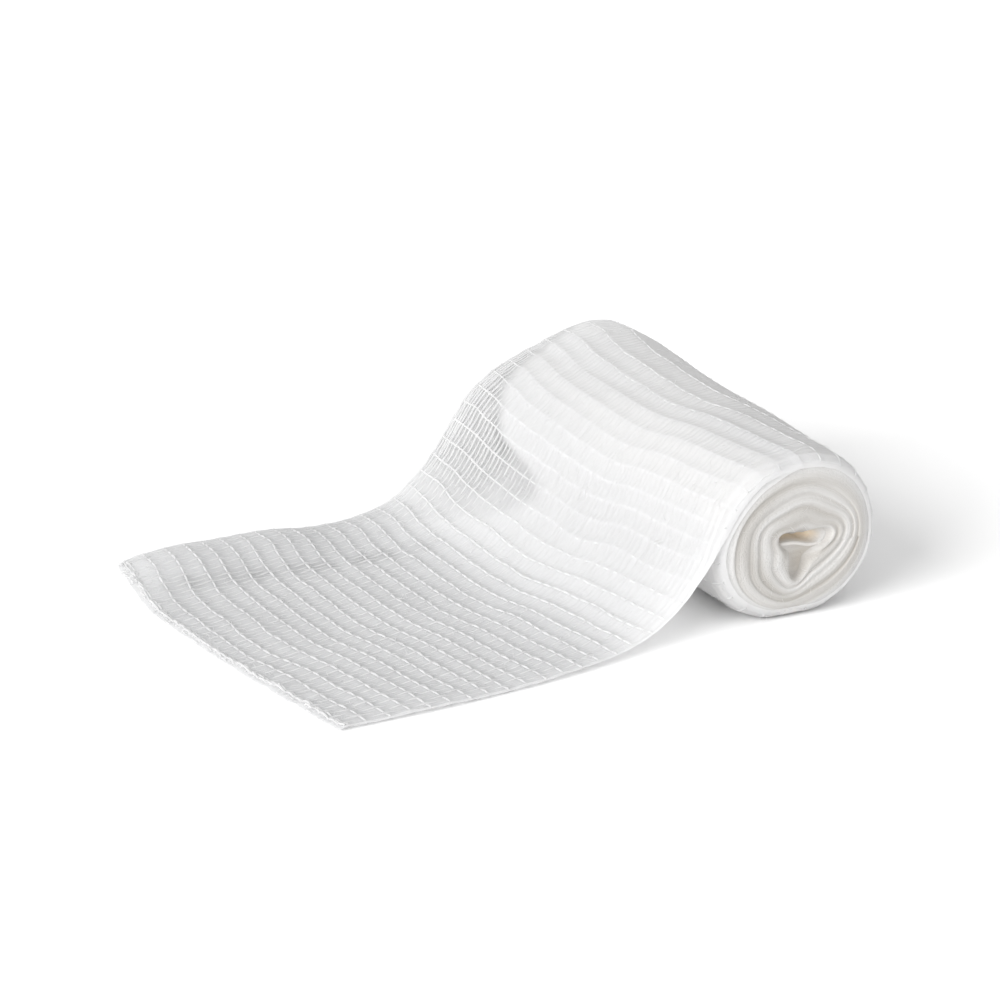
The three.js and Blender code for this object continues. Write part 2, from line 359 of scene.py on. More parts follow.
weft = {
    "stations": 250,
    "inset": 0.006,
    "closeAtEnd": 0.5,  # one more weft lies this much before the cut end
    "lastPlace": 0.02,
    "drift": (0.05, 21, 6, 26),
    "swing": 1.1,
    "swell": (0.18, 22, 2, 8),
    "sides": 5,
    "flatness": 0.9,
}

ridge = {
    "valley": 0.8,  # the lowest place, as a share of the way to the next weft
    "sinking": 1.2,
    "patches": (0.25, 7, 18, 50),
    "patchShift": 0.2,
    "atEdges": 0.2,
    "edgeWidth": 0.09,
}

# The last stretch bunches up in slanting puckers, and its very edge droops to the floor.
puckers = {
    "within": (1.5, 6),  # before the cut end, from full to none
    "slant": 0.9,
    "slanting": (1, 61, 3, 11),
    "straight": (1, 62, 9, 25),
    "rise": 0.12,
    "height": 0.7,
    "lowest": -0.1,
    "droop": 0.35,
    "droopReach": 1.2,
}

fineAlong = np.linspace(grid["start"], endLength, 4001)
finePitch = curveOf(weave["pitchRows"], "pitch", fineAlong)
fineCount = np.concatenate([[0], np.cumsum(np.diff(fineAlong) / finePitch[1:])])
fineCount -= np.interp(0, fineAlong, fineCount)
lastCount = fineCount[-1]
firstWeft = math.ceil(np.interp(weave["start"], fineAlong, fineCount))


def bowLead(straight, across):
    # How far a weft runs ahead towards the cut end, which fades out just before that end.
    fade = np.clip((endLength - straight) / weave["bowFade"], 0, 1)
    return fade * curveOf(weave["bowRows"], "lead", across)


def reliefAt(straight, count, across):
    # Height of the ridges over the valleys. After each weft the cloth sinks slowly and then climbs steeply
    # to the next one. On the roll the ridges are softer waves.
    phase = count - np.floor(count)
    valley = ridge["valley"]
    sinking = (1 - np.minimum(phase / valley, 1)) ** ridge["sinking"]
    saw = np.where(phase < valley, sinking, climb(phase, valley, 1))
    soft = 0.5 + 0.5 * np.cos(2 * np.pi * phase)
    height = curveOf(weave["reliefRows"], "height", straight)
    sharpness = curveOf(weave["reliefRows"], "sharpness", straight)
    weftNumber = np.floor(count + ridge["patchShift"])
    place = across * bandage["width"] + 13 * weftNumber
    patchy = 1 + wander(place, *ridge["patches"])
    inwards = climb(np.minimum(across, 1 - across), 0, ridge["edgeWidth"])
    return height * patchy * mixed(ridge["atEdges"], 1, inwards) * mixed(soft, saw, sharpness)


def puckerAt(straight, across):
    # Two slow curves multiplied, one along a slant and one straight across, less the droop of the very edge.
    toEnd = endLength - straight
    full = 1 - climb(toEnd, *puckers["within"])
    place = across * bandage["width"]
    slanting = wander(place + puckers["slant"] * straight, *puckers["slanting"])
    pucker = slanting * wander(place, *puckers["straight"])
    raised = puckers["rise"] + puckers["height"] * np.maximum(pucker, puckers["lowest"])
    return full * raised - puckers["droop"] * (1 - climb(toEnd, 0, puckers["droopReach"]))


def clothAt(count, across, lift=0):
    # A place on the cloth's middle plane, a number of wefts from the roll's top and a share across, and the
    # normal there, along which lift is added.
    straight = np.interp(count, fineCount, fineAlong)
    along = np.minimum(straight + bowLead(straight, across), endLength)
    point = readGrid(facePoints, along, across)
    normal = unit(readGrid(faceNormals, along, across))
    depth = curveOf(weave["depthRows"], "depth", straight)
    height = reliefAt(straight, count, across) - depth + lift
    leftRoll = np.where(
        across > 0.5,
        climb(along, *weave["nearShoulder"]),
        climb(along, *weave["farShoulder"]),
    )
    height = height - (1 - leftRoll) * shoulderDrop(mixed(-halfWidth, halfWidth, across))
    farLift = curveOf(weave["farLiftRows"], "lift", along)
    height = height + farLift * (1 - climb(across, 0, weave["farLiftWidth"]))
    return point + normal * (height + puckerAt(straight, across))[..., None], normal


# Meshes

def placed(name, data):
    # A new object in the scene for a mesh, a lamp or a camera.
    thing = bpy.data.objects.new(name, data)
    bpy.context.scene.collection.objects.link(thing)
    return thing


def makePiece(name, points, faces, material, uv=None, attributes=None):
    # points in millimetres. faces is a list of arrays, each with its own number of corners.
    mesh = bpy.data.meshes.new(name)
    flat = np.asarray(points, float).reshape(-1, 3) * millimetre
    mesh.from_pydata(flat.tolist(), [], [face for block in faces for face in block.tolist()])
    mesh.polygons.foreach_set("use_smooth", np.full(len(mesh.polygons), True))
    corners = np.zeros(len(mesh.loops), int)
    mesh.loops.foreach_get("vertex_index", corners)
    if uv is not None:
        layer = mesh.uv_layers.new(name="clothPlace")
        layer.uv.foreach_set("vector", (np.asarray(uv, float).reshape(-1, 2) * millimetre)[corners].ravel())
    for attribute, values in (attributes or {}).items():
        made = mesh.attributes.new(attribute, "FLOAT", "POINT")
        made.data.foreach_set("value", np.asarray(values, float).ravel())
    mesh.materials.append(material)
    mesh.validate()
    piece = placed(name, mesh)
    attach(piece, "root")
    triangles = sum(len(polygon.vertices) - 2 for polygon in mesh.polygons)
    print(f"piece: {name}, {triangles} triangles")
    return piece


def tubeFaces(tubes, stations, sides):
    # Quads along each tube and one face over each of its ends.
    ring = np.arange(sides)
    tube, station, side = np.meshgrid(np.arange(tubes), np.arange(stations - 1), ring, indexing="ij")
    start = (tube * stations + station) * sides
    turned = (side + 1) % sides
    walls = np.stack([start + side, start + turned, start + sides + turned, start + sides + side], -1)
    first = np.arange(tubes)[:, None] * stations * sides
    caps = np.concatenate([first + ring[::-1], first + (stations - 1) * sides + ring])
    return [walls.reshape(-1, 4), caps]


def tubePoints(centres, ups, radii, sides, flatness):
    # A ring of points about each centre: across the run and along up, with the height times flatness. The
    # centres stay at least one radius above the floor.
    centres = np.concatenate([centres[..., :2], np.maximum(centres[..., 2:], radii[..., None])], -1)
    run = unit(np.gradient(centres, axis=1))
    beside = unit(np.cross(ups, run))
    above = np.cross(run, beside)
    angle = 2 * np.pi * np.arange(sides) / sides
    ring = beside[:, :, None] * np.cos(angle)[:, None] + flatness * above[:, :, None] * np.sin(angle)[:, None]
    return centres[:, :, None] + ring * radii[:, :, None, None]


def yarnPiece(name, centres, ups, radii, shape):
    # One tube of spun cotton along each row of centres.
    sides = shape["sides"]
    points = tubePoints(centres, ups, radii, sides, shape["flatness"])
    return makePiece(name, points, tubeFaces(*centres.shape[:2], sides), spunCotton)


# Materials

class Strand:
    # One output socket of a shader. Sums and products add Math nodes, and add makes any other node from its
    # kind, its settings and the values or strands of its inputs.
    def __init__(self, tree, socket=None):
        self.tree = tree
        self.socket = socket

    def add(self, kind, settings=None, inputs=None, output=0):
        node = self.tree.nodes.new("ShaderNode" + kind)
        for name, value in (settings or {}).items():
            setattr(node, name, value)
        for name, value in (inputs or {}).items():
            if isinstance(value, Strand):
                self.tree.links.new(value.socket, node.inputs[name])
            else:
                node.inputs[name].default_value = value
        return Strand(self.tree, node.outputs[output] if len(node.outputs) else None)

    def maths(self, operation, other=0.0):
        return self.add("Math", {"operation": operation}, {0: self, 1: other})

    def __add__(self, other):
        return self.maths("ADD", other)

    __radd__ = __add__

    def __mul__(self, other):
        return self.maths("MULTIPLY", other)

    __rmul__ = __mul__

    def __sub__(self, other):
        return self.maths("SUBTRACT", other)

    def limited(self, low, high):
        return self.maths("MINIMUM", high).maths("MAXIMUM", low)


def newMaterial(name):
    material = bpy.data.materials.new(name)
    material.use_nodes = True
    material.node_tree.nodes.clear()
    return material, Strand(material.node_tree)


cloth = {
    "sheen": 0.1,
    "sheenRoughness": 0.6,
    "specular": 0.25,
    "bumpStrength": 0.7,
}


def finishMaterial(start, look, colour, rough, height, alpha=None, glow=None):
    # A matt shader with a bump. A look's through is the share of light that passes the cloth, and its
    # roughness is the least one and what rough adds.
    least, more = look["roughness"]
    inputs = {
        "Base Color": colour,
        "Roughness": least + more * rough,
        "Sheen Weight": cloth["sheen"],
        "Sheen Roughness": cloth["sheenRoughness"],
        "Specular IOR Level": cloth["specular"],
    }
    bump = {"Strength": cloth["bumpStrength"], "Distance": look["bump"], "Height": height}
    inputs["Normal"] = start.add("Bump", inputs=bump)
    if alpha is not None:
        inputs["Alpha"] = alpha
    if glow is not None:
        inputs["Emission Color"], inputs["Emission Strength"] = glow
    shader = start.add("BsdfPrincipled", inputs=inputs)
    if look["through"]:
        behind = start.add("BsdfTranslucent", inputs={"Color": cotton["throughGlow"]})
        if alpha is not None:
            clear = start.add("BsdfTransparent")
            behind = start.add("MixShader", inputs={0: alpha, 1: clear, 2: behind})
        shader = start.add("MixShader", inputs={0: look["through"], 1: shader, 2: behind})
    start.add("OutputMaterial", inputs={"Surface": shader})


def noiseOn(start, place, scale, detail=2.0, roughness=0.5):
    inputs = {"Vector": place, "Scale": scale, "Detail": detail, "Roughness": roughness}
    return start.add("TexNoise", inputs=inputs)


def stretched(start, place, scale):
    return start.add("Mapping", inputs={"Vector": place, "Scale": scale})


def pieceValue(start, name):
    return start.add("Attribute", {"attribute_name": name}, output=2)


def colourMix(start, first, second, share):
    inputs = {0: share, 6: first, 7: second}  # the sockets for colours
    return start.add("Mix", {"data_type": "RGBA"}, inputs, output=2)


cotton = {
    "white": (0.96, 0.96, 0.96, 1),
    "shaded": (0.91, 0.91, 0.915, 1),
    "wound": (0.83, 0.825, 0.82, 1),
    # deep: a darker grey for streaks along the cloth and for painted shade between turns
    "deep": (0.54, 0.515, 0.48, 1),
    # painted warm shade and glow of the hollow
    "paintedWarmth": (0.88, 0.77, 0.62, 1),
    "haze": (0.97, 0.97, 0.975, 1),
    # painted shade between the warp lines
    "hazeGapShade": (0.93, 0.93, 0.935, 1),
    # painted grey-blue shade of the cloth lying single on the floor
    "singleLayerShade": (0.86, 0.862, 0.872, 1),
    "singleLayerGapShade": (0.81, 0.813, 0.824, 1),
    # painted shade seen through the cloth and at its cut end
    "shadedGap": (0.2, 0.2, 0.205, 1),
    "throughGlow": (0.98, 0.98, 0.98, 1),
}


yarnLook = {
    "patches": 900,
    "patchMiddle": 0.35,
    "patchShare": 1.6,
    "fuzz": 5200,
    "fuzzShare": 0.6,
    "roughness": (0.86, 0.12),
    "bump": 0.00012,
    "through": 0.5,
}


def yarnMaterial():
    # Spun cotton: soft light and dark along the yarn, and a fine fuzzy bump.
    material, start = newMaterial("spunCotton")
    place = start.add("TexCoord", output=3)
    patches = noiseOn(start, place, yarnLook["patches"], 3)
    fuzz = noiseOn(start, place, yarnLook["fuzz"], 2, 0.7)
    share = (patches - yarnLook["patchMiddle"]) * yarnLook["patchShare"]
    share = (share + (fuzz - 0.5) * yarnLook["fuzzShare"]).limited(0, 1)
    colour = colourMix(start, cotton["white"], cotton["shaded"], share)
    finishMaterial(start, yarnLook, colour, patches, fuzz)
    return material


woundLook = {
    "streaks": (160, 1500, 1),
    "streakShare": 0.5,
    "streakHeight": 0.6,
    "fuzz": 2600,
    "roughness": (0.88, 0.1),
    "bump": 0.00025,
    "through": 0,
    # painted light: a glow in the hollow's warm colour
    "glow": 0.22,  # light from many thin layers, in the hollow's inner wall alone
}


def woundMaterial():
    # The imported layers: streaks along the cloth, and painted shade of a warm grey where a turn lies deep
    # between others, and in the hollow a painted warm shade and glow.
    material, start = newMaterial("woundCotton")
    uv = start.add("UVMap", {"uv_map": "clothPlace"})
    depth, inside = pieceValue(start, "depth"), pieceValue(start, "inside")
    place = start.add("TexCoord", output=3)
    streaks = noiseOn(start, stretched(start, uv, woundLook["streaks"]), 1, 4, 0.6)
    fuzz = noiseOn(start, place, woundLook["fuzz"], 3, 0.65)
    share = (depth + (streaks - 0.5) * woundLook["streakShare"]).limited(0, 1)
    colour = colourMix(start, cotton["wound"], cotton["deep"], share)
    # Painted warm shade in the hollow, and the same colour as a painted glow.
    colour = colourMix(start, colour, cotton["paintedWarmth"], inside)
    glow = (colourMix(start, (0, 0, 0, 1), cotton["paintedWarmth"], inside), woundLook["glow"])
    height = fuzz + streaks * woundLook["streakHeight"]
    finishMaterial(start, woundLook, colour, fuzz, height, glow=glow)
    return material


hazeLook = {
    "fibresAlong": (260, 3000, 1),
    "fibresAcross": (3000, 300, 1),
    "drifts": 220,
    "cover": 1.3,
    "fibreShare": 0.9,
    "driftShare": 0.25,
    "waves": (90, 700, 1),
    "waveHeight": 0.0011,
    "heights": (0.35, 0.5),  # of the fibres and of the lines
    "roughness": (0.9, 0.1),
    "bump": 0.00022,
    "through": 0.6,
}


def hazeMaterial():
    # Fibres too fine to model, as a film that is thicker in drifts. A sine of the place across the cloth
    # gives it one fine line for each warp.
    material, start = newMaterial("fibreHaze")
    uv = start.add("UVMap", {"uv_map": "clothPlace"})
    strandsAlong = noiseOn(start, stretched(start, uv, hazeLook["fibresAlong"]), 1, 3, 0.6)
    strandsAcross = noiseOn(start, stretched(start, uv, hazeLook["fibresAcross"]), 1, 3, 0.6)
    drifts = noiseOn(start, uv, hazeLook["drifts"], 2)
    fibres = strandsAlong + strandsAcross - 1
    alpha = pieceValue(start, "thick") * hazeLook["cover"] + fibres * hazeLook["fibreShare"]
    alpha = (alpha + (drifts - 0.5) * hazeLook["driftShare"]).limited(0, 1)
    across = start.add("SeparateXYZ", inputs={"Vector": uv}, output=1)
    waviness = noiseOn(start, stretched(start, uv, hazeLook["waves"]), 1, 1) * hazeLook["waveHeight"]
    warpsPerMetre = 1 / (warp["pitch"] * millimetre)
    line = ((across + waviness) * (2 * math.pi * warpsPerMetre)).maths("SINE")
    stripe = line * 0.5 + 0.5
    # Painted shade: darker between the warp lines, and grey-blue where the cloth lies single on the floor,
    # lighter where it lies packed on the roll.
    singleLayerShade = colourMix(start, cotton["singleLayerGapShade"], cotton["singleLayerShade"], stripe)
    layered = colourMix(start, cotton["hazeGapShade"], cotton["haze"], stripe)
    colour = colourMix(start, singleLayerShade, layered, pieceValue(start, "packed"))
    # Painted shade: where one sees through the cloth, and at its cut end, the haze turns towards a dark grey
    # that stands for the shade behind and under it.
    colour = colourMix(start, colour, cotton["shadedGap"], pieceValue(start, "open"))
    fibreHeight, lineHeight = hazeLook["heights"]
    height = fibres * fibreHeight + line * lineHeight
    finishMaterial(start, hazeLook, colour, drifts, height, alpha=alpha)
    return material


spunCotton = yarnMaterial()
woundCotton = woundMaterial()
fibreHaze = hazeMaterial()
print("stage: materials made")


# How dense the cloth is

haze = {
    "rowPhases": (0, 0.2, 0.4, 0.6, 0.8, 0.9),  # its rows between two wefts
    "columns": 121,
    "liftOnRoll": 0.27,
    "liftOnFloor": 0.14,
    "settling": (28, 48),
    "overFloor": 0.06,
    "packedUntil": (34, 54),
    # painted shade: the cut end is mixed towards the dark gap grey
    "cutEndShade": 0.2,  # greyer at the cut end
    "cutEndShadeWithin": (0.6, 3),
    "closed": 1,
    "open": 0.56,
    "openFade": 0.04,
    "fadeAlong": (25, 43),
    "fadeAlongShare": 0.82,
    "fadeAcross": (0.16, 0.3),
    "fadeAcrossShare": 0.5,
    "valleyRows": columns("along middle", (42, 0.27), (60, 0.24), (80, 0.2), (96, 0.16)),
    "valleyWidth": 0.03,
    "valleyOpen": 0.55,
    "valleyWithin": ((42, 56), (88, 94)),
    "leastPatch": 0.55,
    "patches": (0.45, 51, 3, 12),
    # how far across from the far edge one sees through the cloth
    "openRows": columns(
        "along reach",
        (-6, -0.05), (0, 0.01), (5, 0.03), (11, 0.05), (15, 0.07), (19, 0.11), (23, 0.16), (25, 0.21),
        (27, 0.33), (29, 0.39), (31, 0.4), (34, 0.37), (38, 0.3), (42, 0.2), (47, 0.1), (54, -0.05),
    ),
}


def opennessAt(along, across):
    # How far one sees through the cloth, from 0 to 1: a zone over the far edge that fades towards the floor
    # and the near edge, and a patchy strip beside the raised far edge.
    reach = curveOf(haze["openRows"], "reach", along)
    zone = 1 - climb(across, reach - haze["openFade"], reach + haze["openFade"])
    zone = zone * (1 - haze["fadeAlongShare"] * climb(along, *haze["fadeAlong"]))
    zone = zone * (1 - haze["fadeAcrossShare"] * climb(across, *haze["fadeAcross"]))
    valleyMiddle = curveOf(haze["valleyRows"], "middle", along)
    patches = haze["leastPatch"] + wander(along, *haze["patches"])
    strip = haze["valleyOpen"] * bell(across, valleyMiddle, haze["valleyWidth"]) * patches
    strip = strip * window(along, *haze["valleyWithin"])
    return np.maximum(zone, strip)


# The yarns

def warpPlaces():
    # Places of the warps across the cloth, from the far edge: close ones in the edge, then even ones.
    edge = warp["edgeInset"] + warp["edgePitch"] * np.arange(warp["edgeWarps"])
    inner = np.arange(edge[-1] + warp["afterEdge"], bandage["width"] - warp["edgeInset"], warp["pitch"])
    return np.concatenate([edge, inner]) / bandage["width"]


def makeWarps():
    # One tube for each warp, over one weft and under the next, and thinner where the cloth lies packed.
    places = warpPlaces()
    counts = (np.arange(firstWeft, math.floor(lastCount))[:, None] + warp["ringPhases"]).ravel()
    counts = np.append(counts, lastCount - warp["endBefore"])
    warps = len(places)
    counts = np.broadcast_to(counts, (warps, len(counts)))
    run = counts * weave["meanPitch"]
    drift = wanders(run, *warp["drift"]) / bandage["width"]
    across = np.clip(places[:, None] + drift, warp["inset"], 1 - warp["inset"])
    parity = np.arange(warps)[:, None]
    along = np.interp(counts, fineCount, fineAlong)
    swing = curveOf(weave["yarnRows"], "swing", along)
    centres, normals = clothAt(counts, across, swing * np.cos(np.pi * (counts + parity)))
    swell = 1 + wanders(run, *warp["swell"])
    openness = opennessAt(along + bowLead(along, across), across)
    size = mixed(warp["packedSize"], 1, np.maximum(openness, climb(along, *warp["packedUntil"])))
    return yarnPiece("warpYarns", centres, normals, warp["radius"] * swell * size, warp)


def makeWefts():
    # One tube for each weft. It lies on a ridge and goes over every second warp.
    numbers = np.arange(firstWeft + 1, math.floor(lastCount) + 1)
    numbers = np.append(numbers, lastCount - weft["closeAtEnd"])
    wefts, stations = len(numbers), weft["stations"]
    across = np.linspace(weft["inset"], 1 - weft["inset"], stations)
    across = np.broadcast_to(across, (wefts, stations))
    warpCount = np.interp(across[0], warpPlaces(), np.arange(len(warpPlaces())))
    run = across * bandage["width"]
    drift = wanders(run, *weft["drift"])
    counts = np.minimum(numbers[:, None] + drift, lastCount - weft["lastPlace"])
    parity = np.round(numbers)[:, None]
    along = np.interp(counts, fineCount, fineAlong)
    radius, rise, swing = (
        curveOf(weave["yarnRows"], name, along) for name in ("weftRadius", "weftRise", "swing")
    )
    lift = rise - weft["swing"] * swing * np.cos(np.pi * (warpCount + parity))
    centres, normals = clothAt(counts, across, lift)
    swell = 1 + wanders(run, *weft["swell"])
    return yarnPiece("weftYarns", centres, normals, radius * swell, weft)


def sheetFaces(rows, columnCount):
    # Quads between neighbouring rows and columns of points.
    row, column = np.meshgrid(np.arange(rows - 1), np.arange(columnCount - 1), indexing="ij")
    a = row * columnCount + column
    return [np.stack([a, a + columnCount, a + columnCount + 1, a + 1], -1).reshape(-1, 4)]


def makeHaze():
    # The cloth itself as one thin sheet in the yarns' middle plane, from the cut end once round the roll.
    counts = (np.arange(firstWeft, math.floor(lastCount))[:, None] + haze["rowPhases"]).ravel()
    counts = np.append(counts, lastCount)
    counts, across = np.meshgrid(counts, np.linspace(0, 1, haze["columns"]), indexing="ij")
    straight = np.interp(counts, fineCount, fineAlong)
    uv = np.stack([straight, across * bandage["width"]], -1)
    along = straight + bowLead(straight, across)
    openness = opennessAt(along, across)
    thick = mixed(haze["closed"], haze["open"], openness)
    lift = mixed(haze["liftOnRoll"], haze["liftOnFloor"], climb(along, *haze["settling"]))
    points, _ = clothAt(counts, across, lift * (1 - openness))
    points[..., 2] = np.maximum(points[..., 2], haze["overFloor"])
    # packed is 1 on the roll and slope and 0 on the floor, where the haze gets its painted grey-blue shade.
    packed = 1 - climb(along, *haze["packedUntil"])
    toEnd = endLength - straight
    # Painted shade at the cut end, carried in open together with the see-through zone.
    cutEndShade = haze["cutEndShade"] * (1 - climb(toEnd, *haze["cutEndShadeWithin"]))
    attributes = {"thick": thick, "open": np.maximum(openness, cutEndShade), "packed": packed}
    return makePiece("clothHaze", points, sheetFaces(*counts.shape), fibreHaze, uv=uv, attributes=attributes)


warpYarns = makeWarps()
weftYarns = makeWefts()
clothHaze = makeHaze()
print("stage: woven cloth made")


# The wound turns

wound = {
    "turns": 5.4,
    "start": 0.42,
    "outermost": 0.4,  # the turn that lies at the full size
    "stepsPerTurn": 110,
    "stations": 11,
    "rimSteps": 4,
    "turnRun": 90,
    "fullHollow": (30, 39),  # the hollow opens between these distances from the middle
    "underCloth": 0.22,
    "underEnd": 0.2,  # more where the loose end lies over it, between these angles
    "endOver": ((0.94, 1.05), (2.44, 3.1)),
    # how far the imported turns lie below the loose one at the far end, with its angle and width
    "sag": (3.2, 80, 45),
    "fullBelow": (0.5, 215, 50),
    "lowest": 0.5,
    "loose": 0.4,
    "uneven": ((0.3, 2, 0.7), (0.2, 3, 2.1), (0.1, 5, 0)),
    "unevenFrom": (1, 2.5),
    "fill": 1.32,
    "endThinning": (0.9, 0.3),
    "rim": 0.55,
    "rings": 3.4,
    "sink": 0.6,
    "sinkFrom": (0.9, 1.7),
    "dish": 0.5,
    "insets": (1.8, 1.7),  # of the far and the near edges
    "farWander": (0.3, 35, 9, 40),
    "nearWanders": ((0.16, 33, 9, 40), (0.08, 34, 1.5, 4)),
    "gaps": (36, 38.5),
    # painted shade: the deep grey in the gaps between turns and in sunk rings, besides a share everywhere
    "shades": (0.35, 0.15, 0.5),  # everywhere, in the gaps between turns and in sunk rings
    # where the painted warm shade of the hollow reaches, and how much of it lies low
    "paintedWarmthUntil": (36.2, 38.2),
    "paintedWarmthHeights": (11.4, 12.6),
    "paintedWarmthBelow": 0.3,
}


def woundPiece(name, points, faces, uv, depth, inside):
    # depth darkens the imported cloth, as painted shade in gaps, rings and hollows besides a share
    # everywhere, and inside mixes in the painted warm shade and glow of the hollow.
    return makePiece(name, points, faces, woundCotton, uv=uv, attributes={"depth": depth, "inside": inside})


def roundedStrip(stations, rimSteps):
    # Points round a strip's section: its outer face, the near rim, the inner face back and the far rim.
    # Each has a place from -1 at the far rim to 1, and a depth from 0.5 outside to -0.5.
    place = np.sin(np.linspace(-np.pi / 2, np.pi / 2, stations))
    rim = np.linspace(0, np.pi, rimSteps + 2)[1:-1]
    face, rimDepth = np.full(stations, 0.5), 0.5 * np.cos(rim)
    places = np.concatenate([place, np.ones(rimSteps), place[::-1], -np.ones(rimSteps)])
    depths = np.concatenate([face, rimDepth, -face, -rimDepth])
    bulges = np.concatenate([0 * face, np.sin(rim), 0 * face, np.sin(rim)])
    return places, depths, bulges


def wavesRound(angle, waves):
    # A sum of sine waves, each with its size, its number round the axis and its phase.
    return sum(size * np.sin(number * angle + phase) for size, number, phase in waves)


def woundPoint(x, angle, share):
    # A place between the hollow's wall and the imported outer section, which loses most of the stand-off.
    size = mixed(hollow["middleSize"], 1, climb(np.abs(x), *wound["fullHollow"]))
    innerY, innerZ = hollowPoint(angle, size)
    covered = window(np.mod(angle, 2 * np.pi), *wound["endOver"])
    farSide = ((halfWidth - x) / bandage["width"]).clip(0, 1) ** outerTurn["farLean"]
    sag, sagAngle, sagWidth = wound["sag"]
    full, fullAngle, fullWidth = wound["fullBelow"]
    thinner = wound["underCloth"] + wound["underEnd"] * covered
    thinner = thinner + sag * farSide * bellRound(angle, sagAngle, sagWidth)
    thinner = thinner - full * bellRound(angle, fullAngle, fullWidth) + shoulderDrop(x)
    outerY, outerZ = sectionPoint(x, angle, thinner, wound["loose"] * (1 - farSide))
    z = mixed(innerZ, np.maximum(outerZ, wound["lowest"]), share)
    return np.stack([x, mixed(innerY, outerY, share), z], -1)


def makeWoundTurns():
    # One long strip wound inwards. Its two edges sink and rise slowly from turn to turn, as soft rings.
    turns = wound["turns"]
    steps = round(turns * wound["stepsPerTurn"]) + 1
    turn = np.linspace(wound["start"], turns, steps)[:, None]
    places, depths, bulges = roundedStrip(wound["stations"], wound["rimSteps"])
    angle = math.pi / 2 - 2 * np.pi * turn
    layer = 1 / turns
    uneven = wavesRound(angle, wound["uneven"]) * climb(turn, *wound["unevenFrom"])
    middle = 1 - (turn - wound["outermost"] + uneven) * layer
    thinning, lastTurns = wound["endThinning"]
    ending = 1 - thinning * climb(turn, turns - lastTurns, turns)
    share = np.minimum(middle + depths * layer * wound["fill"] * ending, 1)
    ring = 0.5 - 0.5 * np.cos(2 * np.pi * wound["rings"] * middle + 0.5 * np.sin(angle))
    inwards = climb(turn, *wound["sinkFrom"])
    sunk = wound["dish"] * (1 - middle) + wound["sink"] * ring * inwards
    run = turn * wound["turnRun"]
    farInset, nearInset = wound["insets"]
    farX = -halfWidth + farInset + sunk + wander(run, *wound["farWander"])
    nearX = halfWidth - nearInset - sunk + sum(wander(run, *waves) for waves in wound["nearWanders"])
    x = mixed(farX, nearX, 0.5 + 0.5 * places) + np.sign(places) * bulges * wound["rim"]
    points = woundPoint(x, angle, share)
    uv = np.stack(np.broadcast_arrays(run, x), -1)
    # Painted shade: the deep grey goes into the gaps between turns near the ends and into the sunk rings, on
    # top of a share everywhere.
    everywhere, inGaps, inRings = wound["shades"]
    gapShade = (1 - bulges) * climb(np.abs(x), *wound["gaps"])
    depth = everywhere + inGaps * gapShade + inRings * ring * inwards
    # Painted warm shade on the innermost turn's inner face, deep in the hollow and most in its upper part.
    innermost = climb(turn, turns - 1.05, turns - 0.95) * (depths < 0)
    deep = 1 - climb(np.abs(x), *wound["paintedWarmthUntil"])
    inside = innermost * deep * mixed(wound["paintedWarmthBelow"], 1, climb(points[..., 2], *wound["paintedWarmthHeights"]))
    return woundPiece("woundTurns", points, tubeFaces(1, steps, len(places)), uv, depth, inside)


# The turns' rims felt together into one soft face at each end, with a low wave for every turn.
rims = {
    "anglesRound": 260,
    "steps": 96,
    "ends": {1: 40, -1: 39.8},
    "dish": 0.5,
    "uneven": ((0.22, 2, 0.7), (0.16, 3, 2.1)),
    "wave": 0.36,
    "waveWithin": ((0, 0.12), (0.88, 0.97)),
    "shoulder": 1.7,
    "shoulderStart": 0.86,
    "innerRounding": 2.3,
    "innerEnd": 0.16,
    # painted shade on the end faces: in the waves between turns, besides a share everywhere and two broad
    # darker rings
    "shades": (0.3, 0.4, 0.42),  # everywhere, in the waves and in two broad rings
}


